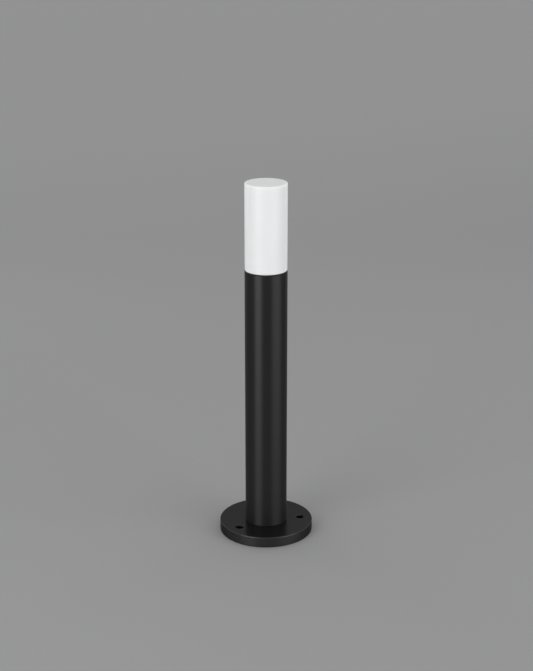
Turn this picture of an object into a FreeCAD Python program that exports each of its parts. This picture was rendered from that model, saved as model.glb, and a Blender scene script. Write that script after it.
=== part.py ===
"""Outdoor bollard light: cast base, aluminium post, opal diffuser held by a bayonet, and an E27 lamp.

Frame: origin at the centre of the base's underside, +Z up. Millimetres.
"""
import FreeCAD, Part

import math
import os

from FreeCAD import Vector

# ---- driving dimensions -------------------------------------------------------------------
TOTAL_HEIGHT = 500.0
POST_R = 29.0
POST_WALL = 2.0
BASE_R = 65.0
BASE_HEIGHT = 15.0
JOINT_Z = 381.0              # lower edge of the diffuser's visible wall
ANCHOR_CIRCLE_R = 48.0
ANCHOR_ANGLES = (90.0, 198.0, 342.0)
ANCHOR_HOLE_R = 5.5

# ---- base casting -------------------------------------------------------------------------
DECK_T = 4.5
RIM_WALL = 4.0
EDGE_R = 1.2                 # rounding of the plate's upper edge
FOOT_CHAMFER = 0.6
HUB_WALL_R = 31.0            # inside of the round wall under the post
HUB_WALL_T = 3.0
RIB_T = 2.5
RIB_COUNT = 10
RIB_RELIEF = 0.6             # ribs and bosses inside stop this far above the ground
ANCHOR_BOSS_R = 9.5
HOLE_BREAK = 0.5             # broken edge at a hole's mouth
CABLE_HOLE_R = 9.0
DECK_Z = BASE_HEIGHT - DECK_T

# ---- fixings between base and post --------------------------------------------------------
SCREW_ANGLES = (30.0, 150.0, 270.0)
RING_GAP = 0.05
FOOT_RING_BORE = 17.0
FOOT_RING_T = 12.0
FOOT_SCREW_CIRCLE = 21.5
M5_R = 2.5
M5_HEAD_R = 4.75
M5_HEAD_T = 2.75
M5_HOLE_R = M5_R + 0.3       # clearance
M5_THREAD_R = M5_R + RING_GAP
M5_SCREW_LENGTH = 16.0
WASHER_T = 1.0

# ---- head: seat ring, carrier, diffuser neck ------------------------------------------------
TUBE_BORE_R = POST_R - POST_WALL
SEAL_T = 1.0
TUBE_TOP = JOINT_Z - SEAL_T
TUBE_BREAK = 0.4
SEAT_Z = 346.0               # top of the seat ring, underside of the carrier's floor
SEAT_RING_T = 12.0
SEAT_RING_BORE = 20.5
CARRIER_SCREW_CIRCLE = 24.2
M3_R = 1.5
M3_HEAD_R = 2.6
M3_HEAD_T = 2.2
M3_SLOTTED_HEAD_T = 1.9
M3_HOLE_R = M3_R + 0.15      # clearance
M3_THREAD_R = M3_R + RING_GAP
FLOOR_T = 4.0
FLOOR_Z = SEAT_Z + FLOOR_T   # top of the carrier's floor
COLLAR_BORE_R = 19.6
COLLAR_R = 21.4
COLLAR_TOP = 379.0
LUG_ANGLES = (90.0, 210.0, 330.0)
LUG_SPAN = 18.0              # degrees
LUG_R = 25.2
LUG_Z = 371.0
LUG_T = 3.5
LOCK_ANGLE = 30.0            # turn between the diffuser's free and locked positions
GROOVE_R = 25.6
GROOVE_GAP = 0.4
GROOVE_SIDE_GAP = 1.5        # degrees
NECK_BORE_R = 24.0
NECK_R = 26.6
NECK_BOTTOM = 364.0
DIFFUSER_R = 28.7
DIFFUSER_WALL = 2.5
DIFFUSER_EDGE_R = 1.7
SEAL_R = 28.3

# ---- lampholder and lamp, E27 ---------------------------------------------------------------
HOLDER_R = 18.5
HOLDER_RIM = 393.0
SOCKET_R = 14.3
SOCKET_FLOOR = 368.0
HOLDER_SCREW_XS = (-13.0, 13.0)
HOLDER_THREAD_DEPTH = 11.0
TERMINAL_X = 5.0
TERMINAL_W = 5.0
TERMINAL_H = 8.0
LEAD_BORE_R = 1.6
THREAD_PITCH = 25.4 / 7.0
SHELL_BORE_R = 13.4
SHELL_R = 14.0
SHELL_RIDGE_R = 12.45
SHELL_THREAD_Z = (378.0, 387.0)
LAMP_TIP_Z = 369.5
LAMP_LENGTH = 78.0
EYELET_R = 4.4
EYELET_T = 1.6
INSULATOR_R = 10.4
INSULATOR_TOP = LAMP_TIP_Z + 5.6
CAP_CORE_R = 12.1
CAP_RIDGE_R = 13.1
CAP_THREAD_Z = (375.6, 389.4)
CAP_HEIGHT = 24.0
GLOBE_R = 22.5
GLOBE_WALL = 1.2
GLOBE_NECK_R = 19.4
HOUSING_HEIGHT = 20.0
HOUSING_TOP = LAMP_TIP_Z + CAP_HEIGHT + HOUSING_HEIGHT
DRIVER_Z = LAMP_TIP_Z + 8.0
DRIVER_BOARD_T = 1.2
LED_BOARD_TOP = HOUSING_TOP - 0.4
LED_RINGS = ((10, 12.5), (4, 5.5))   # chips in a ring, radius of the ring

# ---- wiring unit under the carrier ------------------------------------------------------------
STRIP_T = 1.5
STRIP_W = 26.0
STRIP_Y = 8.0                # front face of the hanging strip
STRIP_BOTTOM = 262.0
TAB_HALF_X = 16.5
TAB_FRONT_Y = -7.5
WIRE_WINDOW = (15.0, 12.0)   # opening for the leads, in the carrier's floor and in the bracket
BLOCK_Z = (296.0, 313.0)
BLOCK_DEPTH = 14.0
BLOCK_BASE_T = 10.0
POLE_PITCH = 9.3
POLE_XS = (-POLE_PITCH, 0.0, POLE_PITCH)
POLE_SCREW_ZS = (BLOCK_Z[0] + 4.2, BLOCK_Z[1] - 4.2)
SLEEVE_R = 2.5
SLEEVE_BORE_R = 1.5
POLE_SCREW_R = 1.3
BLOCK_SCREW_X = POLE_PITCH / 2
BLOCK_MID_Z = sum(BLOCK_Z) / 2
WIRE_R = 1.2
WIRE_Y = 3.0
EARTH_X = 6.0
EARTH_Z = 337.0
EARTH_WIRE_Y = STRIP_Y - WIRE_R - 0.75
LUG_PLATE_T = 0.8
WIRE_END_Z = BLOCK_Z[1] - 6.0
BLOCK_HEAD_Y = -1.0          # seat of the block's fixing screw
CLAMP_Z = 273.0
CLAMP_SCREW_XS = (-9.0, 9.0)
CLAMP_T = 1.2
SUPPLY_CABLE_R = 4.5
SHORT_SCREW = 5.0


# ---- small shape helpers ----------------------------------------------------------------------
def at_angle(radius, degrees, z=0.0):
    a = math.radians(degrees)
    return Vector(radius * math.cos(a), radius * math.sin(a), z)


def rod(radius, z0, z1, centre=Vector(0, 0, 0)):
    return Part.makeCylinder(radius, z1 - z0, Vector(centre.x, centre.y, z0))


def ring(bore, radius, z0, z1, centre=Vector(0, 0, 0)):
    return rod(radius, z0, z1, centre).cut(rod(bore, z0 - 1, z1 + 1, centre))


def box(x0, x1, y0, y1, z0, z1):
    return Part.makeBox(x1 - x0, y1 - y0, z1 - z0, Vector(x0, y0, z0))


def turned(points):
    """Solid of revolution about Z.

    Points are (r, z), or (r, z, r_mid, z_mid) for an arc that ends at (r, z).
    """
    edges = []
    last = Vector(points[0][0], 0, points[0][1])
    for p in list(points[1:]) + [points[0][:2]]:
        end = Vector(p[0], 0, p[1])
        if len(p) == 4:
            edges.append(Part.Arc(last, Vector(p[2], 0, p[3]), end).toShape())
        elif (end - last).Length > 1e-6:
            edges.append(Part.LineSegment(last, end).toShape())
        last = end
    return Part.Face(Part.Wire(edges)).revolve(Vector(0, 0, 0), Vector(0, 0, 1), 360)


def rounded(r, z, radius):
    """Middle point of a quarter-circle that rounds the outer upper corner at (r, z)."""
    inset = radius * (1 - math.sqrt(0.5))
    return (r - inset, z - inset)


def sector(bore, radius, z0, z1, a0, a1):
    """Part of a ring between two angles, in degrees."""
    wedge = ring(bore, radius, z0, z1)
    far = 2 * radius
    pts = [Vector(0, 0, z0 - 1), at_angle(far, a0, z0 - 1), at_angle(far, (a0 + a1) / 2, z0 - 1),
           at_angle(far, a1, z0 - 1), Vector(0, 0, z0 - 1)]
    return wedge.common(Part.Face(Part.makePolygon(pts)).extrude(Vector(0, 0, z1 - z0 + 2)))


def hex_prism(across_flats, z0, z1, centre):
    r = across_flats / math.sqrt(3)
    pts = [centre + at_angle(r, 60 * k) for k in range(7)]
    pts = [Vector(p.x, p.y, z0) for p in pts]
    return Part.Face(Part.makePolygon(pts)).extrude(Vector(0, 0, z1 - z0))


def button_screw(r, head_r, head_t, length, centre, seat_z, up):
    """Button-head screw with a hex socket. Its head is below seat_z if it points up, else above."""
    crown = head_r * 0.55
    dome = (crown, head_t, 0.86 * head_r, 0.72 * head_t)
    head = turned([(0, 0), (head_r, 0), (head_r, 0.25 * head_t), dome, (0, head_t)])
    socket = hex_prism(r * 1.25, head_t * 0.4, head_t + 1, Vector(0, 0, 0))
    point = 0.3 * r
    shank = turned([(0, 0.5), (r, 0.5), (r, point - length), (r - point, -length), (0, -length)])
    screw = head.cut(socket).fuse(shank).removeSplitter()
    if up:
        screw.rotate(Vector(0, 0, 0), Vector(1, 0, 0), 180)
    screw.translate(Vector(centre.x, centre.y, seat_z))
    return screw


def screw_along_y(r, head_r, head_t, length, x, y, z):
    """Slotted cheese-head screw. Its head stands in front of y, towards -Y; its shank goes to +Y."""
    head = Part.makeCylinder(head_r, head_t, Vector(x, y - head_t, z), Vector(0, 1, 0))
    half_slot = 0.35
    slot = box(x - head_r, x + head_r, y - head_t - 1, y - 0.5 * head_t, z - half_slot, z + half_slot)
    return head.cut(slot).fuse(Part.makeCylinder(r, length, Vector(x, y, z), Vector(0, 1, 0)))


def helical_ridge(root_r, tip_r, root_half, tip_half, z0, z1, phase=0.0):
    """Right-hand ridge of trapezoid section, from root_r to tip_r, whose middle runs from z0 to z1."""
    helix = Part.makeHelix(THREAD_PITCH, z1 - z0, root_r)
    pts = [Vector(root_r, 0, -root_half), Vector(tip_r, 0, -tip_half), Vector(tip_r, 0, tip_half),
           Vector(root_r, 0, root_half), Vector(root_r, 0, -root_half)]
    solid = Part.Wire(helix).makePipeShell([Part.makePolygon(pts)], True, True)
    solid.rotate(Vector(0, 0, 0), Vector(0, 0, 1), phase)
    solid.translate(Vector(0, 0, z0))
    return solid


def wire_along(points, radius):
    """Round wire along a path of straight runs joined by tangent arcs."""
    edges = []
    start = points[0]
    for before, here, after in zip(points, points[1:], points[2:]):
        into = (here - before).normalize()
        out = (after - here).normalize()
        shorter = min((here - before).Length, (after - here).Length)
        half_turn = into.getAngle(out) / 2
        reach = 0.45 * shorter
        bend = reach / math.tan(half_turn)
        a = here - into * reach
        b = here + out * reach
        inward = (out - into).normalize()
        middle = here + inward * (bend / math.cos(half_turn) - bend)
        edges.append(Part.LineSegment(start, a).toShape())
        edges.append(Part.Arc(a, middle, b).toShape())
        start = b
    edges.append(Part.LineSegment(start, points[-1]).toShape())
    path = Part.Wire(edges)
    first = (points[1] - points[0]).normalize()
    section = Part.Wire([Part.Circle(points[0], first, radius).toShape()])
    return path.makePipeShell([section], True, False)


# ---- base ---------------------------------------------------------------------------------------
def base_plate():
    plate = turned([
        (0, DECK_Z), (BASE_R - RIM_WALL, DECK_Z), (BASE_R - RIM_WALL, 0), (BASE_R - FOOT_CHAMFER, 0),
        (BASE_R, FOOT_CHAMFER), (BASE_R, BASE_HEIGHT - EDGE_R),
        (BASE_R - EDGE_R, BASE_HEIGHT) + rounded(BASE_R, BASE_HEIGHT, EDGE_R), (0, BASE_HEIGHT)])
    hub = ring(HUB_WALL_R, HUB_WALL_R + HUB_WALL_T, RIB_RELIEF, DECK_Z + 1)
    ribs = []
    for k in range(RIB_COUNT):
        rib = box(HUB_WALL_R + 1, BASE_R - 0.5 * RIM_WALL, -RIB_T / 2, RIB_T / 2, RIB_RELIEF, DECK_Z + 1)
        rib.rotate(Vector(0, 0, 0), Vector(0, 0, 1), ANCHOR_ANGLES[0] + 360.0 / RIB_COUNT * k)
        ribs.append(rib)
    bosses = [rod(ANCHOR_BOSS_R, 0, DECK_Z + 1, at_angle(ANCHOR_CIRCLE_R, a)) for a in ANCHOR_ANGLES]
    plate = plate.fuse([hub] + ribs + bosses).removeSplitter()
    holes = [rod(CABLE_HOLE_R, DECK_Z - 1, BASE_HEIGHT + 1)]
    for a in ANCHOR_ANGLES:
        where = at_angle(ANCHOR_CIRCLE_R, a)
        holes.append(rod(ANCHOR_HOLE_R, -1, BASE_HEIGHT + 1, where))
        mouth = Part.makeCone(ANCHOR_HOLE_R, ANCHOR_HOLE_R + HOLE_BREAK, HOLE_BREAK,
                              Vector(where.x, where.y, BASE_HEIGHT - HOLE_BREAK))
        holes.append(mouth)
    for a in SCREW_ANGLES:
        holes.append(rod(M5_HOLE_R, DECK_Z - 1, BASE_HEIGHT + 1, at_angle(FOOT_SCREW_CIRCLE, a)))
    return plate.cut(holes).removeSplitter()


def cable_grommet():
    bore = 5.0
    flange_r = 12.5
    upper_r = 11.0
    flange_t = 2.0
    lip = 0.5
    low = DECK_Z - flange_t
    high = BASE_HEIGHT + flange_t
    body_r = CABLE_HOLE_R - RING_GAP
    return turned([
        (bore, low), (flange_r - lip, low), (flange_r, low + lip), (flange_r, DECK_Z), (body_r, DECK_Z),
        (body_r, BASE_HEIGHT), (upper_r, BASE_HEIGHT), (upper_r, high - 2 * lip),
        (upper_r - 2 * lip, high), (bore, high)])


def threaded_ring(bore, z_top, thickness, circle, hole_r):
    body = ring(bore, TUBE_BORE_R - RING_GAP, z_top - thickness, z_top)
    holes = [rod(hole_r, z_top - thickness - 1, z_top + 1, at_angle(circle, a)) for a in SCREW_ANGLES]
    return body.cut(holes)


def foot_ring():
    top = BASE_HEIGHT + FOOT_RING_T
    return threaded_ring(FOOT_RING_BORE, top, FOOT_RING_T, FOOT_SCREW_CIRCLE, M5_THREAD_R)


def base_screws():
    seat = DECK_Z - WASHER_T
    places = [at_angle(FOOT_SCREW_CIRCLE, a) for a in SCREW_ANGLES]
    return [button_screw(M5_R, M5_HEAD_R, M5_HEAD_T, M5_SCREW_LENGTH, p, seat, True) for p in places]


def base_washers():
    bore = M5_R + 0.15
    outer_r = M5_HEAD_R + 0.25
    places = [at_angle(FOOT_SCREW_CIRCLE, a) for a in SCREW_ANGLES]
    return [ring(bore, outer_r, DECK_Z - WASHER_T, DECK_Z, p) for p in places]


# ---- post ---------------------------------------------------------------------------------------
def post_tube():
    fine = 0.5 * TUBE_BREAK
    return turned([
        (TUBE_BORE_R, BASE_HEIGHT), (POST_R - fine, BASE_HEIGHT), (POST_R, BASE_HEIGHT + fine),
        (POST_R, TUBE_TOP - TUBE_BREAK), (POST_R - TUBE_BREAK, TUBE_TOP), (TUBE_BORE_R + fine, TUBE_TOP),
        (TUBE_BORE_R, TUBE_TOP - fine)])


def seat_ring():
    return threaded_ring(SEAT_RING_BORE, SEAT_Z, SEAT_RING_T, CARRIER_SCREW_CIRCLE, M3_THREAD_R)


# ---- head ---------------------------------------------------------------------------------------
def wire_window(z0, z1):
    half_x = WIRE_WINDOW[0] / 2
    half_y = WIRE_WINDOW[1] / 2
    return box(-half_x, half_x, -half_y, half_y, z0 - 1, z1 + 1)


def lamp_carrier():
    floor = rod(TUBE_BORE_R - 0.2, SEAT_Z, FLOOR_Z)
    collar = ring(COLLAR_BORE_R, COLLAR_R, FLOOR_Z - 1, COLLAR_TOP)
    lugs = [sector(COLLAR_BORE_R + 0.5, LUG_R, LUG_Z, LUG_Z + LUG_T, a - LUG_SPAN / 2, a + LUG_SPAN / 2)
            for a in LUG_ANGLES]
    web_reach = 1.6
    web_t = 2.0
    webs = []
    for a in LUG_ANGLES:
        web = box(COLLAR_R - 0.5, COLLAR_R + web_reach, -web_t / 2, web_t / 2, FLOOR_Z - 0.5, LUG_Z + 0.5)
        web.rotate(Vector(0, 0, 0), Vector(0, 0, 1), a)
        webs.append(web)
    body = floor.fuse([collar] + lugs + webs).removeSplitter()
    places = [at_angle(CARRIER_SCREW_CIRCLE, a) for a in SCREW_ANGLES]
    places += [Vector(x, 0, 0) for x in HOLDER_SCREW_XS]
    holes = [rod(M3_HOLE_R, SEAT_Z - 1, FLOOR_Z + 1, p) for p in places]
    return body.cut([wire_window(SEAT_Z, FLOOR_Z)] + holes)


def carrier_screws():
    length = 14.0
    places = [at_angle(CARRIER_SCREW_CIRCLE, a) for a in SCREW_ANGLES]
    return [button_screw(M3_R, M3_HEAD_R, M3_HEAD_T, length, p, FLOOR_Z, False) for p in places]


def diffuser():
    """Cup with a thinner neck. Three L-shaped grooves in the neck's bore take the carrier's lugs."""
    inner_r = DIFFUSER_R - DIFFUSER_WALL
    inner_top = TOTAL_HEIGHT - DIFFUSER_WALL
    inner_edge = 2.5
    lip = 0.5
    shoulder_break = 0.3
    slope_top = JOINT_Z + 5.0
    slope_bottom = JOINT_Z + 2.5
    crown = TOTAL_HEIGHT - DIFFUSER_EDGE_R
    shell = turned([
        (0, TOTAL_HEIGHT), (0, inner_top), (inner_r - inner_edge, inner_top),
        (inner_r, inner_top - inner_edge) + rounded(inner_r, inner_top, inner_edge),
        (inner_r, slope_top), (NECK_BORE_R, slope_bottom), (NECK_BORE_R, NECK_BOTTOM + lip),
        (NECK_BORE_R + lip, NECK_BOTTOM), (NECK_R - lip, NECK_BOTTOM), (NECK_R, NECK_BOTTOM + lip),
        (NECK_R, JOINT_Z), (DIFFUSER_R - shoulder_break, JOINT_Z),
        (DIFFUSER_R, JOINT_Z + shoulder_break), (DIFFUSER_R, crown),
        (DIFFUSER_R - DIFFUSER_EDGE_R, TOTAL_HEIGHT)
        + rounded(DIFFUSER_R, TOTAL_HEIGHT, DIFFUSER_EDGE_R)])
    reach = LUG_SPAN / 2 + GROOVE_SIDE_GAP
    low = LUG_Z - GROOVE_GAP
    top = LUG_Z + LUG_T + GROOVE_GAP
    inside = NECK_BORE_R - 1
    grooves = []
    for a in LUG_ANGLES:
        entry = sector(inside, GROOVE_R, NECK_BOTTOM - 1, top, a - reach, a + reach)
        track = sector(inside, GROOVE_R, low, top, a + reach, a + LOCK_ANGLE + reach)
        grooves.append(entry.fuse(track).removeSplitter())
    return shell.cut(grooves)


def diffuser_seal():
    return ring(NECK_R + 0.1, SEAL_R, TUBE_TOP, JOINT_Z)


# ---- lampholder ---------------------------------------------------------------------------------
def holder_body():
    edge = 1.0
    mouth_break = 0.6
    body = turned([
        (0, FLOOR_Z), (HOLDER_R, FLOOR_Z), (HOLDER_R, HOLDER_RIM - edge), (HOLDER_R - edge, HOLDER_RIM),
        (SOCKET_R + mouth_break, HOLDER_RIM), (SOCKET_R, HOLDER_RIM - mouth_break),
        (SOCKET_R, SOCKET_FLOOR), (0, SOCKET_FLOOR)])
    half = TERMINAL_W / 2 + 0.1
    low = SOCKET_FLOOR - TERMINAL_H
    cuts = [rod(M3_THREAD_R, FLOOR_Z - 1, FLOOR_Z + HOLDER_THREAD_DEPTH, Vector(x, 0, 0))
            for x in HOLDER_SCREW_XS]
    for x in (-TERMINAL_X, TERMINAL_X):
        cuts.append(box(x - half, x + half, -half, half, low - 0.1, SOCKET_FLOOR + 1))
        cuts.append(rod(LEAD_BORE_R, FLOOR_Z - 1, low + 1, Vector(x, 0, 0)))
    return body.cut(cuts)


def holder_terminals():
    half = TERMINAL_W / 2
    low = SOCKET_FLOOR - TERMINAL_H
    high = SOCKET_FLOOR - 0.05
    return [box(x - half, x + half, -half, half, low, high) for x in (-TERMINAL_X, TERMINAL_X)]


def holder_contact():
    """Bent spring strip from the live terminal to the middle of the socket."""
    half = 2.5
    low = SOCKET_FLOOR
    tip = LAMP_TIP_Z - 0.3
    t = 0.4
    pts = [(TERMINAL_X + 2.4, low), (TERMINAL_X + 2.4, low + t), (TERMINAL_X - 2.0, low + t), (1.5, tip),
           (-1.5, tip), (-1.5, tip - t), (1.2, tip - t), (TERMINAL_X - 2.2, low)]
    wire = Part.makePolygon([Vector(x, -half, z) for x, z in pts + pts[:1]])
    return Part.Face(wire).extrude(Vector(0, 2 * half, 0))


def holder_shell():
    tube = ring(SHELL_BORE_R, SHELL_R, SOCKET_FLOOR + 0.5, HOLDER_RIM - 2)
    low, high = SHELL_THREAD_Z
    phase = 180.0 + 360.0 * (low - CAP_THREAD_Z[0]) / THREAD_PITCH
    ridge = helical_ridge(SHELL_BORE_R + 0.3, SHELL_RIDGE_R, 0.85, 0.25, low, high, phase)
    half = TERMINAL_W / 2
    foot = box(-SHELL_BORE_R - 0.3, -TERMINAL_X + 1.5, -half, half, SOCKET_FLOOR, SOCKET_FLOOR + 0.5)
    return tube.fuse([ridge, foot])


def holder_screws():
    length = 16.0
    seat = SEAT_Z - STRIP_T
    return [button_screw(M3_R, M3_HEAD_R, M3_HEAD_T, length, Vector(x, 0, 0), seat, True)
            for x in HOLDER_SCREW_XS]


# ---- lamp ---------------------------------------------------------------------------------------
def lamp_contact():
    """Shallow dome of solder on a round eyelet."""
    z = LAMP_TIP_Z
    dome_r = 2.6
    return turned([(0, z), (dome_r, z + 0.9, 1.9, z + 0.25), (EYELET_R, z + 1.2),
                   (EYELET_R, z + EYELET_T), (0, z + EYELET_T)])


def lamp_insulator():
    low = LAMP_TIP_Z + EYELET_T
    face_r = 5.2
    return turned([(0, low), (face_r, low), (INSULATOR_R, INSULATOR_TOP - 1.0, 8.6, low + 1.0),
                   (INSULATOR_R, INSULATOR_TOP), (0, INSULATOR_TOP)])


def lamp_cap():
    bottom = INSULATOR_TOP - 1.0
    top = LAMP_TIP_Z + CAP_HEIGHT
    wall = 0.4
    collar = 0.8
    mouth_r = INSULATOR_R + RING_GAP
    inner_r = CAP_CORE_R - wall
    shell = turned([
        (mouth_r, bottom), (CAP_CORE_R - 0.5, bottom), (CAP_CORE_R, bottom + 0.8),
        (CAP_CORE_R, top - collar - 1.0), (CAP_RIDGE_R, top - collar), (CAP_RIDGE_R, top),
        (CAP_RIDGE_R - wall, top), (inner_r, top - 1.4), (inner_r, bottom + 1.0), (mouth_r, bottom + 1.0)])
    ridge = helical_ridge(CAP_CORE_R - 0.25, CAP_RIDGE_R, 0.95, 0.35, CAP_THREAD_Z[0], CAP_THREAD_Z[1])
    return shell.fuse(ridge)


def lamp_housing():
    z0 = LAMP_TIP_Z + CAP_HEIGHT
    z1 = HOUSING_TOP
    wall = 1.5
    flare = 17.4
    return turned([
        (CAP_RIDGE_R - 2.0, z0), (CAP_RIDGE_R + 0.5, z0), (CAP_RIDGE_R + 0.5, z0 + 3.0),
        (GLOBE_NECK_R + 0.6, z1 - 1.5, flare, z0 + 10.5), (GLOBE_NECK_R + 0.6, z1),
        (GLOBE_NECK_R - wall, z1), (GLOBE_NECK_R - wall, z1 - 2.0),
        (CAP_RIDGE_R - 1.0, z0 + 4.0, flare - 2.2, z0 + 11.0)])


def lamp_board():
    return ring(1.5, GLOBE_NECK_R - 1.6, LED_BOARD_TOP - 1.5, LED_BOARD_TOP)


def lamp_leds():
    long_side = 3.5
    short_side = 2.8
    chips = []
    for count, radius in LED_RINGS:
        for k in range(count):
            chip = box(radius - short_side / 2, radius + short_side / 2, -long_side / 2, long_side / 2,
                       LED_BOARD_TOP, LED_BOARD_TOP + 0.7)
            chip.rotate(Vector(0, 0, 0), Vector(0, 0, 1), 360.0 / count * k)
            chips.append(chip)
    return chips


def lamp_driver_board():
    return box(-9.0, 9.0, -DRIVER_BOARD_T / 2, DRIVER_BOARD_T / 2, DRIVER_Z, DRIVER_Z + 26.0)


def lamp_capacitor():
    radius = 4.0
    groove = 0.4
    z = DRIVER_Z + 9.0
    y = DRIVER_BOARD_T / 2 + radius + 0.05
    length = 12.0
    edge = 0.5
    can = turned([(0, 0), (radius, 0), (radius, 2.0), (radius - groove, 2.4), (radius, 2.8),
                  (radius, length - edge), (radius - edge, length), (0, length)])
    can.translate(Vector(-3.0, y, z))
    return can


def lamp_coil():
    radius = 3.2
    z = DRIVER_Z + 15.0
    flange_t = 1.0
    waist = 0.7
    length = 7.0
    core_r = radius - waist
    coil = turned([(0, 0), (radius, 0), (radius, flange_t), (core_r, flange_t), (core_r, length - flange_t),
                   (radius, length - flange_t), (radius, length), (0, length)])
    coil.translate(Vector(4.6, DRIVER_BOARD_T / 2 + radius + 0.05, z))
    return coil


def lamp_globe():
    z_low = HOUSING_TOP
    z_top = LAMP_TIP_Z + LAMP_LENGTH
    z_mid = z_top - GLOBE_R
    bore_r = GLOBE_R - GLOBE_WALL

    def at_height(r, z):
        return (math.sqrt(r * r - (z - z_mid) ** 2), z)

    def flank(r):
        return (r * math.cos(0.3), z_mid + r * math.sin(0.3))

    return turned([at_height(GLOBE_R, z_low), (0, z_top) + flank(GLOBE_R),
                   (0, z_mid + bore_r), at_height(bore_r, z_low) + flank(bore_r)])


# ---- wiring unit ----------------------------------------------------------------------------------
def bore_y(radius, x, z, y0, y1):
    return Part.makeCylinder(radius, y1 - y0, Vector(x, y0, z), Vector(0, 1, 0))


def terminal_bracket():
    back = STRIP_Y + STRIP_T
    low = SEAT_Z - STRIP_T
    tab = box(-TAB_HALF_X, TAB_HALF_X, TAB_FRONT_Y, back, low, SEAT_Z)
    strip = box(-STRIP_W / 2, STRIP_W / 2, STRIP_Y, back, STRIP_BOTTOM, SEAT_Z)
    body = tab.fuse(strip).removeSplitter()
    cuts = [wire_window(low, SEAT_Z)]
    cuts += [rod(M3_HOLE_R, low - 1, SEAT_Z + 1, Vector(x, 0, 0)) for x in HOLDER_SCREW_XS]
    tapped = [(BLOCK_SCREW_X, BLOCK_MID_Z), (EARTH_X, EARTH_Z)]
    tapped += [(x, CLAMP_Z) for x in CLAMP_SCREW_XS]
    cuts += [bore_y(M3_THREAD_R, x, z, STRIP_Y - 1, back + 1) for x, z in tapped]
    return body.cut(cuts)


def terminal_block():
    """Three-pole block: a body with a round tower over every terminal screw."""
    half = 1.5 * POLE_PITCH
    low, high = BLOCK_Z
    front = STRIP_Y - BLOCK_DEPTH
    body_front = STRIP_Y - BLOCK_BASE_T
    tower_r = 3.6
    shaft_r = 2.05
    poles = [(x, z) for x in POLE_XS for z in POLE_SCREW_ZS]
    towers = [bore_y(tower_r, x, z, front, body_front + 1) for x, z in poles]
    body = box(-half, half, body_front, STRIP_Y, low, high).fuse(towers).removeSplitter()
    cuts = [rod(SLEEVE_R + 0.1, low - 1, high + 1, Vector(x, WIRE_Y, 0)) for x in POLE_XS]
    cuts += [bore_y(shaft_r, x, z, front - 1, WIRE_Y) for x, z in poles]
    cuts.append(bore_y(M3_HOLE_R, BLOCK_SCREW_X, BLOCK_MID_Z, front - 1, STRIP_Y + 1))
    cuts.append(bore_y(M3_HEAD_R + 0.2, BLOCK_SCREW_X, BLOCK_MID_Z, front - 1, BLOCK_HEAD_Y))
    return body.cut(cuts)


def terminal_sleeves():
    sleeves = []
    for x in POLE_XS:
        body = ring(SLEEVE_BORE_R, SLEEVE_R, BLOCK_Z[0] + 1, BLOCK_Z[1] - 1, Vector(x, WIRE_Y, 0))
        cuts = [bore_y(POLE_SCREW_R + RING_GAP, x, z, WIRE_Y - 2 * SLEEVE_R, WIRE_Y) for z in POLE_SCREW_ZS]
        sleeves.append(body.cut(cuts))
    return sleeves


def terminal_screws():
    """Their points just reach the wires."""
    head_r = 1.9
    head_t = 1.8
    head_y = WIRE_Y - SLEEVE_R - 0.2
    length = WIRE_Y - WIRE_R - 0.02 - head_y
    return [screw_along_y(POLE_SCREW_R, head_r, head_t, length, x, head_y, z)
            for x in POLE_XS for z in POLE_SCREW_ZS]


def block_screw():
    length = STRIP_Y + STRIP_T + 1.0 - BLOCK_HEAD_Y
    return screw_along_y(M3_R, M3_HEAD_R, M3_SLOTTED_HEAD_T, length, BLOCK_SCREW_X, BLOCK_HEAD_Y,
                         BLOCK_MID_Z)


def cord_clamp():
    """Saddle that presses the supply cable against the strip."""
    half_width = 4.0
    foot_reach = CLAMP_SCREW_XS[1] + 3.2
    r = SUPPLY_CABLE_R
    outer_r = r + CLAMP_T
    axis_y = STRIP_Y - r
    low = CLAMP_Z - half_width
    high = CLAMP_Z + half_width
    front_half = box(-outer_r, outer_r, axis_y - outer_r, axis_y, low, high)
    arch = ring(r, outer_r, low, high, Vector(0, axis_y, 0)).common(front_half)
    parts = []
    for side in (-1, 1):
        x0, x1 = sorted((side * r, side * outer_r))
        parts.append(box(x0, x1, axis_y, STRIP_Y, low, high))
        x0, x1 = sorted((side * r, side * foot_reach))
        parts.append(box(x0, x1, STRIP_Y - CLAMP_T, STRIP_Y, low, high))
    body = arch.fuse(parts).removeSplitter()
    foot_front = STRIP_Y - CLAMP_T
    holes = [bore_y(M3_HOLE_R, x, CLAMP_Z, foot_front - 1, STRIP_Y + 1) for x in CLAMP_SCREW_XS]
    return body.cut(holes)


def short_screw(x, y, z):
    return screw_along_y(M3_R, M3_HEAD_R, M3_SLOTTED_HEAD_T, SHORT_SCREW, x, y, z)


def clamp_screws():
    return [short_screw(x, STRIP_Y - CLAMP_T, CLAMP_Z) for x in CLAMP_SCREW_XS]


def earth_lug():
    """Ring tag, flat against the strip, with a crimped barrel below it."""
    y = STRIP_Y - LUG_PLATE_T
    eye_r = 3.6
    neck_half = 1.4
    neck_reach = 6.5
    barrel_wall = 0.7
    barrel_bore = WIRE_R + 0.03
    eye = bore_y(eye_r, EARTH_X, EARTH_Z, y, STRIP_Y)
    neck = box(EARTH_X - neck_half, EARTH_X + neck_half, y, STRIP_Y, EARTH_Z - neck_reach, EARTH_Z)
    barrel = ring(barrel_bore, WIRE_R + barrel_wall, EARTH_Z - 11.0, EARTH_Z - 5.5,
                  Vector(EARTH_X, EARTH_WIRE_Y, 0))
    hole = bore_y(M3_R + 0.1, EARTH_X, EARTH_Z, y - 1, STRIP_Y + 1)
    return eye.fuse([neck, barrel]).removeSplitter().cut(hole)


def earth_screw():
    return short_screw(EARTH_X, STRIP_Y - LUG_PLATE_T, EARTH_Z)


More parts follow.
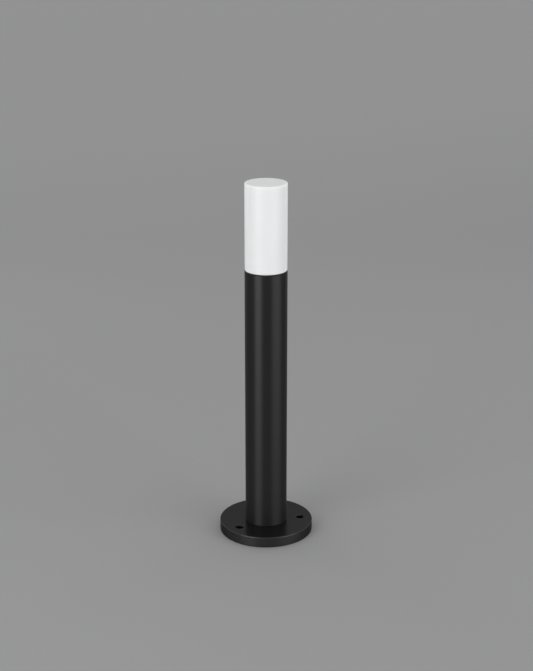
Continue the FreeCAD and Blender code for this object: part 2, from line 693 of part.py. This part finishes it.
def holder_lead(x_block, x_holder):
    """Lead from the terminal block up through the carrier's floor into a terminal of the lampholder."""
    points = [Vector(x_block, WIRE_Y, WIRE_END_Z), Vector(x_block, WIRE_Y, BLOCK_Z[1] + 10),
              Vector(x_holder, 0, SEAT_Z - 9), Vector(x_holder, 0, SOCKET_FLOOR - TERMINAL_H - 0.05)]
    return wire_along(points, WIRE_R)


def live_wire():
    return holder_lead(POLE_XS[1], TERMINAL_X)


def neutral_wire():
    return holder_lead(POLE_XS[0], -TERMINAL_X)


def earth_wire():
    x = POLE_XS[2]
    high = BLOCK_Z[1]
    points = [Vector(x, WIRE_Y, WIRE_END_Z), Vector(x, WIRE_Y, high + 4.5),
              Vector(EARTH_X, EARTH_WIRE_Y, high + 9.5), Vector(EARTH_X, EARTH_WIRE_Y, EARTH_Z - 6.6)]
    return wire_along(points, WIRE_R)


PIECES = (
    base_plate, cable_grommet, base_screws, base_washers, foot_ring, post_tube, seat_ring, lamp_carrier,
    carrier_screws, holder_body, holder_shell, holder_contact, holder_terminals, holder_screws,
    terminal_bracket, terminal_block, terminal_sleeves, terminal_screws, block_screw, cord_clamp,
    clamp_screws, live_wire, neutral_wire, earth_wire, earth_lug, earth_screw,
    diffuser_seal, diffuser,
    lamp_contact, lamp_insulator, lamp_cap, lamp_driver_board, lamp_capacitor, lamp_coil, lamp_housing,
    lamp_board, lamp_leds, lamp_globe,
)


def main():
    os.makedirs("parts", exist_ok=True)
    for make in PIECES:
        made = make()
        shape = Part.makeCompound(made) if isinstance(made, list) else made
        if not shape.isValid() or shape.Volume <= 0:
            print("NOT VALID", make.__name__, shape.Volume)
        shape.exportStep(os.path.join("parts", make.__name__ + ".step"))
        print(make.__name__, len(shape.Solids), round(shape.Volume, 1))


main()
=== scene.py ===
"""Looks of an outdoor bollard light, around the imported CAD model. Metres, in the model's own frame."""

import math

import bmesh
import bpy
from mathutils import Matrix, Vector


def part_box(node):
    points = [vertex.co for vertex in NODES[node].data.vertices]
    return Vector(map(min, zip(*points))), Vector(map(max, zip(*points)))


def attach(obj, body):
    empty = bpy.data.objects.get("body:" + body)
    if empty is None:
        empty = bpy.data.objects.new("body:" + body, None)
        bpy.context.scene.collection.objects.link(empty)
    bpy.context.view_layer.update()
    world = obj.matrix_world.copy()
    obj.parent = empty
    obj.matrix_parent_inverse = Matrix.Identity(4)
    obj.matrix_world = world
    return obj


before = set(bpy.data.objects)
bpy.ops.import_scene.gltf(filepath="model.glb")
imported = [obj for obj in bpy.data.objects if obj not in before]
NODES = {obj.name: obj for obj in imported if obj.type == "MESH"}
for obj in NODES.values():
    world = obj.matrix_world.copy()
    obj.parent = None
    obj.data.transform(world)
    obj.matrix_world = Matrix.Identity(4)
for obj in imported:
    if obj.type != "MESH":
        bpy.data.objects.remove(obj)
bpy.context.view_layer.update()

MM = 0.001
POST_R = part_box("post_tube")[1].x
CHIP_RINGS = ((10, 12.5 * MM), (4, 5.5 * MM))     # LED chips in a ring, and its radius
PAINTED_BORE_SHADE = 0.010                              # painted shade inside the plate's bores and pockets

# The viewpoint: the model's own +Y points away from the camera and a little to its left.
VIEW_TURN = math.radians(-21.55)
VIEW_PITCH = math.radians(18.51)
VIEW_DISTANCE = 64.83 * POST_R
VIEW_HEIGHT = 31.62 * POST_R
VIEW_SIDE = 0.6 * MM
LENS = 78.1                                       # in mm, on a sensor 36 mm wide


# ---- camera, stage and lights ---------------------------------------------------------------
def seen(across, away, up):
    """A point given as the camera sees it: across to its right, away from it, and up."""
    return Matrix.Rotation(VIEW_TURN, 4, "Z") @ Vector((across, away, up))


def add_camera():
    data = bpy.data.cameras.new("camera")
    data.lens = LENS
    data.sensor_width = 36.0
    camera = bpy.data.objects.new("camera", data)
    camera.location = seen(VIEW_SIDE, -VIEW_DISTANCE, VIEW_HEIGHT)
    camera.rotation_euler = (math.pi / 2 - VIEW_PITCH, 0, VIEW_TURN)
    bpy.context.scene.collection.objects.link(camera)
    bpy.context.scene.camera = camera


def add_stage():
    """A wide, flat, pale floor."""
    reach = 15.0
    sides = 128
    radii = (0.3, 0.8, 2.0, 5.0, reach)
    verts = [(0, 0, 0)]
    for r in radii:
        verts += [(r * math.cos(2 * math.pi * s / sides), r * math.sin(2 * math.pi * s / sides), 0)
                  for s in range(sides)]
    faces = [(0, 1 + s, 1 + (s + 1) % sides) for s in range(sides)]
    for ring in range(len(radii) - 1):
        a = 1 + ring * sides
        b = a + sides
        faces += [(a + s, b + s, b + (s + 1) % sides, a + (s + 1) % sides) for s in range(sides)]
    mesh = bpy.data.meshes.new("studio_floor")
    mesh.from_pydata(verts, [], faces)
    floor = bpy.data.objects.new("studio_floor", mesh)
    bpy.context.scene.collection.objects.link(floor)
    mat, _, bsdf = shader("studio_paper", Roughness=0.9)
    bsdf.inputs["Base Color"].default_value = (0.322, 0.322, 0.324, 1)
    bsdf.inputs["Specular IOR Level"].default_value = 0.1
    mesh.materials.append(mat)


def add_light(name, across, away, up, wide, high, power, aim=(0, 0, 0.25), spread=180.0):
    data = bpy.data.lights.new(name, "AREA")
    data.shape = "RECTANGLE"
    data.size = wide
    data.size_y = high
    data.energy = power
    data.spread = math.radians(spread)
    light = bpy.data.objects.new(name, data)
    light.location = seen(across, away, up)
    towards = Vector(aim) - light.location
    light.rotation_euler = towards.to_track_quat("-Z", "Y").to_euler()
    light.visible_camera = False
    bpy.context.scene.collection.objects.link(light)


def add_lights():
    scene = bpy.context.scene
    scene.view_settings.view_transform = "Standard"
    world = bpy.data.worlds.new("studio_air")
    world.use_nodes = True
    world.node_tree.nodes["Background"].inputs["Color"].default_value = (1.0, 1.0, 1.0, 1)
    world.node_tree.nodes["Background"].inputs["Strength"].default_value = 0.62
    scene.world = world
    add_light("panel_left", -1.00, -1.12, 0.67, 0.98, 1.3, 6.5, aim=(0, 0, 0.67), spread=120.0)
    add_light("panel_right", 1.36, -0.85, 0.67, 1.6, 1.3, 6.6, aim=(0, 0, 0.67), spread=120.0)
    add_light("rear_left", -1.3, 1.3, 0.6, 0.8, 1.1, 1.2, aim=(0, 0, 0.6), spread=120.0)
    add_light("rear_right", 1.3, 1.3, 0.6, 0.8, 1.1, 1.2, aim=(0, 0, 0.6), spread=120.0)
    add_light("back_wash", 0.0, 6.5, 3.0, 12.0, 10.0, 90.0, aim=tuple(seen(0, 6.5, 0)), spread=100.0)


# ---- material helpers -------------------------------------------------------------------------
def shader(name, **values):
    """A material with one Principled shader. Keywords are its sockets, with _ for a space."""
    mat = bpy.data.materials.new(name)
    mat.use_nodes = True
    bsdf = mat.node_tree.nodes["Principled BSDF"]
    for socket, value in values.items():
        bsdf.inputs[socket.replace("_", " ")].default_value = value
    return mat, mat.node_tree, bsdf


def make(tree, kind, inputs=(), **settings):
    """A node of a tree. inputs is a list of (socket, value or socket to link from)."""
    node = tree.nodes.new("ShaderNode" + kind)
    for name, value in settings.items():
        setattr(node, name, value)
    for socket, value in inputs:
        if isinstance(value, bpy.types.NodeSocket):
            tree.links.new(value, node.inputs[socket])
        else:
            node.inputs[socket].default_value = value
    return node


def place(tree, stretch=(1, 1, 1)):
    """Object coordinates in metres, scaled along the axes."""
    coord = make(tree, "TexCoord")
    return make(tree, "Mapping", [("Vector", coord.outputs["Object"]), ("Scale", stretch)]).outputs["Vector"]


def noise(tree, size, detail=2.0, rough=0.5, stretch=(1, 1, 1)):
    """Noise whose features are about size metres across."""
    inputs = [("Vector", place(tree, stretch)), ("Scale", 1.0 / size), ("Detail", detail),
              ("Roughness", rough)]
    return make(tree, "TexNoise", inputs).outputs["Fac"]


def math_node(tree, operation, a, b=0.0):
    return make(tree, "Math", [(0, a), (1, b)], operation=operation).outputs["Value"]


def between(tree, value, low, high, to_low, to_high):
    """Maps value from low..high to to_low..to_high, clamped."""
    inputs = [("Value", value), ("From Min", low), ("From Max", high), ("To Min", to_low),
              ("To Max", to_high)]
    return make(tree, "MapRange", inputs).outputs["Result"]


def mix_colour(tree, factor, a, b):
    node = make(tree, "Mix", data_type="RGBA")
    for index, value in ((0, factor), (6, a), (7, b)):
        if isinstance(value, bpy.types.NodeSocket):
            tree.links.new(value, node.inputs[index])
        else:
            node.inputs[index].default_value = value
    return node.outputs[2]


def bump(tree, height, depth, below=None):
    """Normal from a height of 0..1 that stands for depth metres."""
    inputs = [("Height", height), ("Distance", depth), ("Strength", 1.0)]
    if below is not None:
        inputs.append(("Normal", below))
    return make(tree, "Bump", inputs).outputs["Normal"]


def edge_mask(tree, radius):
    """1 on convex or concave edges, 0 on flat or gently curved surface."""
    soft = make(tree, "Bevel", [("Radius", radius)], samples=6).outputs["Normal"]
    flat = make(tree, "NewGeometry").outputs["Normal"]
    dot = make(tree, "VectorMath", [(0, soft), (1, flat)], operation="DOT_PRODUCT").outputs["Value"]
    return between(tree, dot, 0.995, 0.90, 0.0, 1.0)


def facing(tree, axis):
    """The surface normal's share along X, Y or Z."""
    normal = make(tree, "NewGeometry").outputs["Normal"]
    return make(tree, "SeparateXYZ", [("Vector", normal)]).outputs[axis]


def polar(tree):
    """Distance from the model's axis, and angle about it."""
    flat = make(tree, "SeparateXYZ", [("Vector", place(tree))])
    x, y = flat.outputs["X"], flat.outputs["Y"]
    squares = math_node(tree, "ADD", math_node(tree, "MULTIPLY", x, x), math_node(tree, "MULTIPLY", y, y))
    return math_node(tree, "SQRT", squares), math_node(tree, "ARCTAN2", y, x)


def grey(value, alpha=1.0):
    return (value, value, value, alpha)


def dress(mat, *names):
    for name in names:
        slots = NODES[name].data.materials
        slots.clear()
        slots.append(mat)


def bore_shade_mask(tree, node, level):
    """1 on the upright walls inside a round node's rim, from a little below its top face; this is where
    painted shade darkens the bores.
    """
    _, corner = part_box(node)
    radius, _ = polar(tree)
    height = make(tree, "SeparateXYZ", [("Vector", place(tree))]).outputs["Z"]
    inside = between(tree, radius, 0.94 * corner.x, 0.95 * corner.x, 1.0, 0.0)
    deep = between(tree, height, corner.z - 2.6 * MM, corner.z - 1.4 * MM, 1.0, 0.0)
    upright = between(tree, level, 0.2, 0.5, 1.0, 0.0)
    return math_node(tree, "MULTIPLY", math_node(tree, "MULTIPLY", inside, deep), upright)


# ---- materials ----------------------------------------------------------------------------------
def powder_coat(name, shade, tint, flat_rough, wall_rough, stretch, edge_light_factor, shaded_bore_node=None):
    """Satin black powder coat: fine orange peel, a little dust, and painted light along the edges.

    Upright walls keep the brushed direction of the metal below, so light stretches along Z on them.
    shade is the coat's grey, tint its strength at grazing angles, and the edge factor what edges multiply
    shade by: above 1 a painted highlight, below 1 painted shade.
    The last argument names a node whose bores and pockets get painted shade inside, from a little below its
    top face.
    """
    mat, tree, bsdf = shader(name, Metallic=0.85, Specular_Tint=grey(tint), Anisotropic_Rotation=0.25)
    tangent = make(tree, "Tangent", direction_type="RADIAL", axis="Z")
    tree.links.new(tangent.outputs["Tangent"], bsdf.inputs["Tangent"])
    level = math_node(tree, "ABSOLUTE", facing(tree, "Z"))
    tree.links.new(between(tree, level, 0.2, 0.5, stretch, 0.0), bsdf.inputs["Anisotropic"])
    peel = noise(tree, 1.1 * MM, 3.0, 0.55)
    grain = noise(tree, 0.35 * MM, 2.0, 0.5)
    cloud = noise(tree, 35 * MM, 4.0, 0.6)
    # Painted light along edges: a painted highlight where the edge factor is above 1, painted shade where it
    # is below, broken up by cloud.
    painted_edge_light = math_node(tree, "MULTIPLY", edge_mask(tree, 0.7 * MM), between(tree, cloud, 0.35, 0.65, 0.4, 1.0))
    dust = between(tree, noise(tree, 6 * MM, 5.0, 0.7), 0.45, 0.8, 0.0, 0.25)
    base = mix_colour(tree, dust, grey(shade), grey(1.25 * shade))
    colour = mix_colour(tree, painted_edge_light, base, grey(edge_light_factor * shade))
    # Painted shade inside the bores and pockets, from a little below the top face down.
    if shaded_bore_node is not None:
        colour = mix_colour(tree, bore_shade_mask(tree, shaded_bore_node, level), colour, grey(PAINTED_BORE_SHADE))
    tree.links.new(colour, bsdf.inputs["Base Color"])
    rough = math_node(tree, "ADD", between(tree, cloud, 0.3, 0.7, -0.03, 0.03),
                      between(tree, level, 0.2, 0.5, wall_rough, flat_rough))
    tree.links.new(rough, bsdf.inputs["Roughness"])
    normal = bump(tree, peel, 0.020 * MM)
    normal = bump(tree, grain, 0.010 * MM, normal)
    tree.links.new(normal, bsdf.inputs["Normal"])
    return mat


def opal_plastic(name, colour, rough, depth):
    """Opal moulded plastic: light goes in a little way, with a faint flow pattern in its gloss."""
    mat, tree, bsdf = shader(name)
    cloud = noise(tree, 25 * MM, 3.0, 0.5, (1, 1, 0.4))
    fine = noise(tree, 0.5 * MM, 2.0, 0.5)
    shade = mix_colour(tree, between(tree, cloud, 0.35, 0.65, 0.0, 1.0), colour,
                       tuple(c * 0.985 for c in colour[:3]) + (1,))
    tree.links.new(shade, bsdf.inputs["Base Color"])
    tree.links.new(between(tree, cloud, 0.3, 0.7, rough - 0.03, rough + 0.04), bsdf.inputs["Roughness"])
    tree.links.new(bump(tree, fine, 0.004 * MM), bsdf.inputs["Normal"])
    bsdf.inputs["Subsurface Weight"].default_value = 0.6
    bsdf.inputs["Subsurface Radius"].default_value = (1.0, 1.0, 1.0)
    bsdf.inputs["Subsurface Scale"].default_value = depth
    return mat


def metal(name, colour, rough, streak=(1, 1, 1), grain=0.4 * MM, relief=0.004 * MM, edge=0.25):
    """Bare or plated metal with a worked grain, cloudy roughness and brighter edges."""
    mat, tree, bsdf = shader(name, Metallic=1.0)
    lines = noise(tree, grain, 3.0, 0.6, streak)
    cloud = noise(tree, 8 * MM, 4.0, 0.6)
    dull = tuple(c * 0.82 for c in colour[:3]) + (1,)
    bright = tuple(min(1.0, c * 1.12) for c in colour[:3]) + (1,)
    base = mix_colour(tree, between(tree, cloud, 0.3, 0.7, 0.0, 1.0), dull, colour)
    rubbed = math_node(tree, "MULTIPLY", edge_mask(tree, 0.25 * MM), edge)
    tree.links.new(mix_colour(tree, rubbed, base, bright), bsdf.inputs["Base Color"])
    roughness = math_node(tree, "ADD", between(tree, cloud, 0.3, 0.7, rough - 0.05, rough + 0.07),
                          between(tree, lines, 0.3, 0.7, -0.04, 0.04))
    tree.links.new(roughness, bsdf.inputs["Roughness"])
    tree.links.new(bump(tree, lines, relief), bsdf.inputs["Normal"])
    return mat


def plastic(name, colour, rough=0.42, grain=0.3 * MM, relief=0.006 * MM):
    """Moulded plastic, rubber or lacquer with a fine texture and cloudy gloss."""
    mat, tree, bsdf = shader(name)
    fine = noise(tree, grain, 3.0, 0.6)
    cloud = noise(tree, 12 * MM, 4.0, 0.6)
    dull = tuple(c * 0.88 for c in colour[:3]) + (1,)
    shade = mix_colour(tree, between(tree, cloud, 0.3, 0.7, 0.0, 1.0), dull, colour)
    tree.links.new(shade, bsdf.inputs["Base Color"])
    tree.links.new(between(tree, cloud, 0.3, 0.7, rough - 0.05, rough + 0.06), bsdf.inputs["Roughness"])
    tree.links.new(bump(tree, fine, relief), bsdf.inputs["Normal"])
    return mat


def striped_insulation(name, colour, stripe):
    """Wire insulation in two colours, one along each side."""
    mat, tree, bsdf = shader(name)
    fine = noise(tree, 0.3 * MM, 3.0, 0.6)
    side = between(tree, facing(tree, "X"), -0.08, 0.08, 0.0, 1.0)
    tree.links.new(mix_colour(tree, side, colour, stripe), bsdf.inputs["Base Color"])
    tree.links.new(between(tree, fine, 0.3, 0.7, 0.36, 0.46), bsdf.inputs["Roughness"])
    tree.links.new(bump(tree, fine, 0.006 * MM), bsdf.inputs["Normal"])
    return mat


def chip_packages(name, rings):
    """White chip packages with a round window of phosphor. rings holds (chips, radius) of every ring."""
    mat, tree, bsdf = shader(name)
    radius, angle = polar(tree)
    nearest = None
    for count, ring_r in rings:
        step = 2 * math.pi / count
        turns = math_node(tree, "ROUND", math_node(tree, "DIVIDE", angle, step))
        off = math_node(tree, "SUBTRACT", angle, math_node(tree, "MULTIPLY", turns, step))
        along = math_node(tree, "MULTIPLY", off, radius)
        across = math_node(tree, "SUBTRACT", radius, ring_r)
        squares = math_node(tree, "ADD", math_node(tree, "MULTIPLY", along, along),
                            math_node(tree, "MULTIPLY", across, across))
        distance = math_node(tree, "SQRT", squares)
        nearest = distance if nearest is None else math_node(tree, "MINIMUM", nearest, distance)
    window = math_node(tree, "MULTIPLY", between(tree, nearest, 1.05 * MM, 1.15 * MM, 1.0, 0.0),
                       between(tree, facing(tree, "Z"), 0.5, 0.9, 0.0, 1.0))
    shade = mix_colour(tree, window, (0.80, 0.80, 0.77, 1), (0.80, 0.50, 0.05, 1))
    tree.links.new(shade, bsdf.inputs["Base Color"])
    tree.links.new(between(tree, window, 0.0, 1.0, 0.42, 0.12), bsdf.inputs["Roughness"])
    dip = between(tree, nearest, 0.9 * MM, 1.2 * MM, 0.0, 1.0)
    tree.links.new(bump(tree, dip, 0.08 * MM), bsdf.inputs["Normal"])
    return mat


def tracked_board(name, rings, half_width):
    """White solder mask over copper rings, which show as raised, slightly darker bands."""
    mat, tree, bsdf = shader(name)
    radius, _ = polar(tree)
    track = None
    for _, ring_r in rings:
        off = math_node(tree, "ABSOLUTE", math_node(tree, "SUBTRACT", radius, ring_r))
        band = between(tree, off, half_width, half_width + 0.12 * MM, 1.0, 0.0)
        track = band if track is None else math_node(tree, "MAXIMUM", track, band)
    track = math_node(tree, "MULTIPLY", track, between(tree, facing(tree, "Z"), 0.5, 0.9, 0.0, 1.0))
    fine = noise(tree, 0.4 * MM, 3.0, 0.6)
    shade = mix_colour(tree, track, (0.82, 0.82, 0.82, 1), (0.76, 0.75, 0.72, 1))
    tree.links.new(shade, bsdf.inputs["Base Color"])
    tree.links.new(between(tree, fine, 0.3, 0.7, 0.30, 0.42), bsdf.inputs["Roughness"])
    normal = bump(tree, track, 0.07 * MM)
    tree.links.new(bump(tree, fine, 0.004 * MM, normal), bsdf.inputs["Normal"])
    return mat


def wound_copper(name, pitch, node, flange):
    """Enamelled wire, wound about an upright core between two dark flanges, with painted shade between the
    turns.
    """
    mat, tree, bsdf = shader(name)
    low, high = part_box(node)
    height = make(tree, "SeparateXYZ", [("Vector", place(tree))]).outputs["Z"]
    off = math_node(tree, "ABSOLUTE", math_node(tree, "SUBTRACT", height, (low.z + high.z) / 2))
    edge = (high.z - low.z) / 2 - flange
    wire = between(tree, off, edge - 0.01 * MM, edge + 0.01 * MM, 1.0, 0.0)
    tree.links.new(wire, bsdf.inputs["Metallic"])
    waves = [("Vector", place(tree)), ("Scale", math.pi / 10 / pitch), ("Distortion", 0.6)]
    turns = make(tree, "TexWave", waves, bands_direction="Z").outputs["Fac"]
    # Painted shade: dark copper in the wave's troughs between turns, lit copper on their crests.
    copper = mix_colour(tree, turns, (0.30, 0.09, 0.03, 1), (0.72, 0.30, 0.12, 1))
    tree.links.new(mix_colour(tree, wire, (0.03, 0.03, 0.032, 1), copper), bsdf.inputs["Base Color"])
    tree.links.new(between(tree, turns, 0.0, 1.0, 0.45, 0.24), bsdf.inputs["Roughness"])
    tree.links.new(bump(tree, math_node(tree, "MULTIPLY", turns, wire), 0.12 * MM), bsdf.inputs["Normal"])
    return mat


# ---- parts added to the lamp's driver board ------------------------------------------------------
def block(build, low, high):
    """Adds a box to a bmesh, between two corners."""
    low, high = Vector(low), Vector(high)
    place_it = Matrix.Translation((low + high) / 2) @ Matrix.Diagonal((*(high - low), 1.0))
    bmesh.ops.create_cube(build, size=1.0, matrix=place_it)


def dome(build, centre, radius, height):
    """Adds a flattened dome that rises from a board's face towards -Y."""
    turn = Matrix.Rotation(math.pi / 2, 4, "X")
    shape = Matrix.Translation(centre) @ turn @ Matrix.Diagonal((radius, radius, height, 1.0))
    made = bmesh.ops.create_uvsphere(build, u_segments=20, v_segments=12, radius=1.0, matrix=shape)
    buried = [v for v in made["verts"] if v.co.y > centre[1] + 0.02 * MM]
    bmesh.ops.delete(build, geom=buried, context="VERTS")


def finish_piece(name, build, mat, soft_edge=0.0):
    mesh = bpy.data.meshes.new(name)
    build.to_mesh(mesh)
    build.free()
    for face in mesh.polygons:
        face.use_smooth = True
    piece = bpy.data.objects.new(name, mesh)
    bpy.context.scene.collection.objects.link(piece)
    mesh.materials.append(mat)
    if soft_edge:
        bevel = piece.modifiers.new("edges", "BEVEL")
        bevel.width = soft_edge
        bevel.segments = 2
        bevel.harden_normals = True
    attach(piece, "lamp")
    return piece


def add_driver_parts():
    """Rectifier, chips, legs and solder on the driver board's plain side, which faces -Y."""
    low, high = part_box("lamp_driver_board")
    face = low.y
    middle = (low.x + high.x) / 2
    top = high.z
    chips = bmesh.new()
    legs = bmesh.new()
    solder = bmesh.new()
    body_x, body_z, body_t = 2.4 * MM, 3.2 * MM, 1.5 * MM
    body_mid = top - 7.0 * MM
    leg_gap = 0.25 * MM
    block(chips, (middle - body_x, face - leg_gap - body_t, body_mid - body_z / 2),
          (middle + body_x, face - leg_gap, body_mid + body_z / 2))
    for side in (-1, 1):
        for level in (-0.9 * MM, 0.9 * MM):
            inner = middle + side * (body_x - 0.1 * MM)
            outer = middle + side * (body_x + 1.0 * MM)
            z = body_mid + level
            x0, x1 = sorted((inner, outer))
            block(legs, (x0, face - 0.22 * MM, z - 0.3 * MM), (x1, face - 0.02 * MM, z + 0.3 * MM))
            dome(solder, (outer, face, z), 0.55 * MM, 0.28 * MM)
    for column, height in ((-5.6, 4.0), (-5.6, 7.2), (-5.6, 13.0), (5.6, 4.8), (5.6, 9.0), (0.4, 14.0)):
        x = middle + column * MM
        z = top - height * MM
        block(chips, (x - 0.62 * MM, face - 0.55 * MM, z - 0.6 * MM),
              (x + 0.62 * MM, face - 0.03 * MM, z + 0.6 * MM))
        for side in (-1, 1):
            block(legs, (x - 0.64 * MM, face - 0.5 * MM, z + side * 0.8 * MM - 0.22 * MM),
                  (x + 0.64 * MM, face - 0.02 * MM, z + side * 0.8 * MM + 0.22 * MM))
    for node in ("lamp_capacitor", "lamp_coil"):
        part_low, part_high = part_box(node)
        centre = (part_low + part_high) / 2
        for side in (-1, 1):
            dome(solder, (centre.x + side * 1.2 * MM, face, part_low.z - 1.0 * MM), 0.8 * MM, 0.7 * MM)
    tin = metal("bright_solder", (0.72, 0.72, 0.71, 1), 0.24)
    epoxy = plastic("chip_epoxy", (0.02, 0.02, 0.021, 1), 0.5)
    finish_piece("driver_chips", chips, epoxy, 0.08 * MM)
    finish_piece("driver_legs", legs, tin, 0.04 * MM)
    finish_piece("driver_solder", solder, tin)


def dress_cad():
    # The post's edges get painted shade (edge factor 0.7), the plate's rim a painted highlight (2.0).
    dress(powder_coat("black_powder_coat", shade=0.036, tint=0.5, flat_rough=0.36, wall_rough=0.42,
                      stretch=0.82, edge_light_factor=0.7), "post_tube")
    # The plate's bores get painted shade inside.
    dress(powder_coat("black_base_coat", shade=0.052, tint=0.34, flat_rough=0.24, wall_rough=0.36,
                      stretch=0.66, edge_light_factor=2.0, shaded_bore_node="base_plate"), "base_plate")
    dress(opal_plastic("opal_diffuser", (0.824, 0.829, 0.838, 1), rough=0.38, depth=4 * MM), "diffuser")
    dress(plastic("black_rubber", (0.007, 0.007, 0.007, 1), 0.75), "diffuser_seal", "cable_grommet")
    dress(metal("turned_aluminium", (0.60, 0.61, 0.62, 1), 0.34, (1, 1, 14)), "foot_ring", "seat_ring")
    dress(metal("cast_aluminium", (0.52, 0.53, 0.54, 1), 0.48, relief=0.02 * MM), "lamp_carrier")
    dress(metal("stainless_steel", (0.56, 0.555, 0.55, 1), 0.28), "base_screws", "base_washers",
          "carrier_screws", "holder_screws", "block_screw", "clamp_screws", "earth_screw")
    dress(metal("zinc_plate", (0.55, 0.57, 0.60, 1), 0.36, (1, 1, 6)), "terminal_bracket", "cord_clamp")
    dress(plastic("glazed_ceramic", (0.80, 0.79, 0.75, 1), 0.14, 2 * MM, 0.02 * MM), "holder_body")
    dress(metal("brass", (0.72, 0.50, 0.22, 1), 0.3), "holder_contact", "holder_terminals",
          "terminal_sleeves", "terminal_screws")
    dress(metal("nickel_plate", (0.66, 0.63, 0.58, 1), 0.22), "holder_shell", "lamp_cap")
    dress(plastic("terminal_polyamide", (0.72, 0.72, 0.68, 1), 0.45), "terminal_block")
    dress(plastic("brown_insulation", (0.14, 0.05, 0.02, 1), 0.4), "live_wire")
    dress(plastic("blue_insulation", (0.02, 0.09, 0.36, 1), 0.4), "neutral_wire")
    dress(striped_insulation("striped_earth", (0.05, 0.26, 0.04, 1), (0.72, 0.62, 0.03, 1)), "earth_wire")
    dress(metal("tin_plate", (0.68, 0.68, 0.66, 1), 0.35), "earth_lug", "lamp_contact")
    dress(plastic("black_vitrite", (0.012, 0.012, 0.014, 1), 0.12), "lamp_insulator")
    dress(plastic("green_board", (0.02, 0.14, 0.04, 1), 0.3), "lamp_driver_board")
    dress(plastic("capacitor_sleeve", (0.02, 0.02, 0.03, 1), 0.3), "lamp_capacitor")
    dress(wound_copper("copper_winding", pitch=0.35 * MM, node="lamp_coil", flange=1.0 * MM), "lamp_coil")
    dress(plastic("lamp_white", (0.83, 0.83, 0.82, 1), 0.3), "lamp_housing")
    dress(tracked_board("white_solder_mask", CHIP_RINGS, half_width=0.9 * MM), "lamp_board")
    dress(chip_packages("led_phosphor", CHIP_RINGS), "lamp_leds")
    dress(opal_plastic("lamp_globe_frost", (0.88, 0.88, 0.87, 1), rough=0.5, depth=2 * MM), "lamp_globe")


add_camera()
add_stage()
add_lights()
dress_cad()
add_driver_parts()
